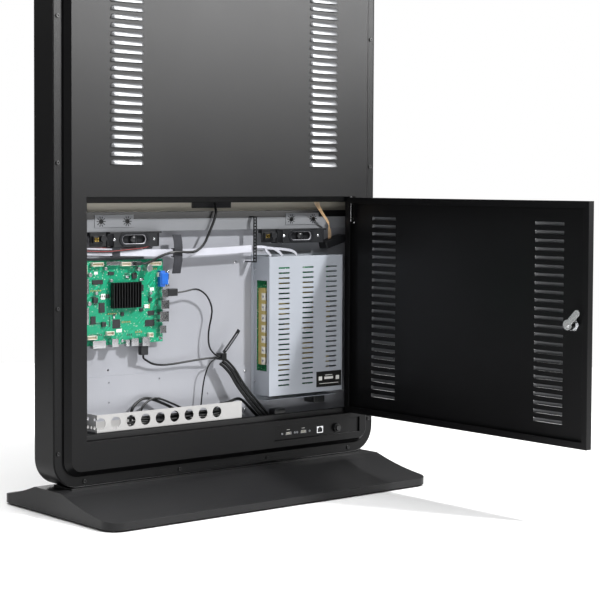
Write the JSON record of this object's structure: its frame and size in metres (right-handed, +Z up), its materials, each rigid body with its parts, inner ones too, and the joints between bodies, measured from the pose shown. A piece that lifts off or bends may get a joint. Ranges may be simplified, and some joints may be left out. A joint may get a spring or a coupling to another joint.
{
  "type": "touchscreen kiosk",
  "caption": "Free-standing portrait touchscreen kiosk on a low base, with a hinged rear service door over its electronics compartment.",
  "frame": {"origin": "on the floor, under the middle of the base", "axes": "+X across the kiosk, to the right when facing the screen; +Y from the screen to the back; +Z up"},
  "size_m": [0.76, 0.83, 1.98],
  "materials": {
    "powder_coat": "satin",
    "glass_black": "gloss",
    "rubber_black": "matte",
    "display_metal": "satin",
    "zinc_plate": "satin",
    "white_steel": "satin",
    "black_plastic": "satin",
    "speaker_cone": "satin",
    "circuit_green": "satin",
    "heat_sink_black": "matte",
    "brass_nickel": "satin",
    "bright_steel": "gloss",
    "blue_plastic": "satin",
    "component_mix": "satin",
    "white_ribbon": "satin",
    "cable_black": "satin",
    "cable_red": "satin",
    "strap_grey": "matte"
  },
  "bodies": {
    "cabinet": {"front_frame": "powder_coat", "front_glass": "glass_black", "glass_gasket": "rubber_black", "touch_film": "glass_black", "screen_panel": "display_metal", "screen_bars": "zinc_plate", "side_rails": "zinc_plate", "touch_controller": "circuit_green", "rear_cover": "powder_coat", "rear_cover_screws": "powder_coat", "equipment_plate": "zinc_plate", "lower_plate": "zinc_plate", "screen_lower_bar": "powder_coat", "screen_support_angle": "zinc_plate", "rosette_brackets": "zinc_plate", "speaker_housings": "black_plastic", "speaker_drivers": "speaker_cone", "speaker_filters": "black_plastic", "main_board": "circuit_green", "board_standoffs": "brass_nickel", "board_screws": "bright_steel", "heat_sink": "heat_sink_black", "board_chips": "black_plastic", "board_capacitors": "bright_steel", "board_sockets": "bright_steel", "vga_socket": "blue_plastic", "psu_tray": "white_steel", "psu_cover": "white_steel", "psu_board": "circuit_green", "psu_parts": "component_mix", "psu_screws": "bright_steel", "mains_inlet": "black_plastic", "cable_channel": "white_steel", "ribbon_sleeve": "white_ribbon", "touch_cable": "cable_black", "data_cables": "cable_black", "cable_bundle": "cable_black", "speaker_wires": "cable_red", "cable_plugs": "black_plastic", "cable_ties": "black_plastic", "hook_straps": "strap_grey", "io_board": "circuit_green", "usb_sockets": "bright_steel", "lan_socket": "bright_steel", "io_screws": "bright_steel", "power_button_bezel": "black_plastic", "base_cover": "powder_coat", "base_plate": "zinc_plate", "base_spine": "zinc_plate", "base_feet": "rubber_black", "base_bolts": "bright_steel", "foot_rail": "zinc_plate", "door_seal": "rubber_black"},
    "door": {"door_panel": "powder_coat", "hinge_stud": "bright_steel", "hinge_spring": "bright_steel", "lock_body": "bright_steel"},
    "lock": {"lock_cam": "bright_steel"},
    "hinge_pin": {"hinge_pin": "bright_steel"},
    "power_button": {"power_button": "black_plastic"}
  },
  "joints": [
    {"name": "door_hinge", "type": "hinge", "parent": "cabinet", "child": "door", "pos_m": [-0.311, 0.017, 0.3495], "axis": [0, 0, 1], "range_deg": [-90, 20]},
    {"name": "lock_turn", "type": "hinge", "parent": "door", "child": "lock", "pos_m": [-0.3155, 0.605, 0.3495], "axis": [-1, 0, 0], "range_deg": [-45, 45]},
    {"name": "hinge_pin_pull", "type": "slide", "parent": "door", "child": "hinge_pin", "axis": [0, 0, -1], "range_m": [0, 0.008], "stiffness_N_per_m": 300, "springref_m": -0.01, "deforming": ["hinge_spring"]},
    {"name": "button_press", "type": "slide", "parent": "cabinet", "child": "power_button", "axis": [0, -1, 0], "range_m": [0, 0.003], "stiffness_N_per_m": 400, "springref_m": -0.002}
  ]
}
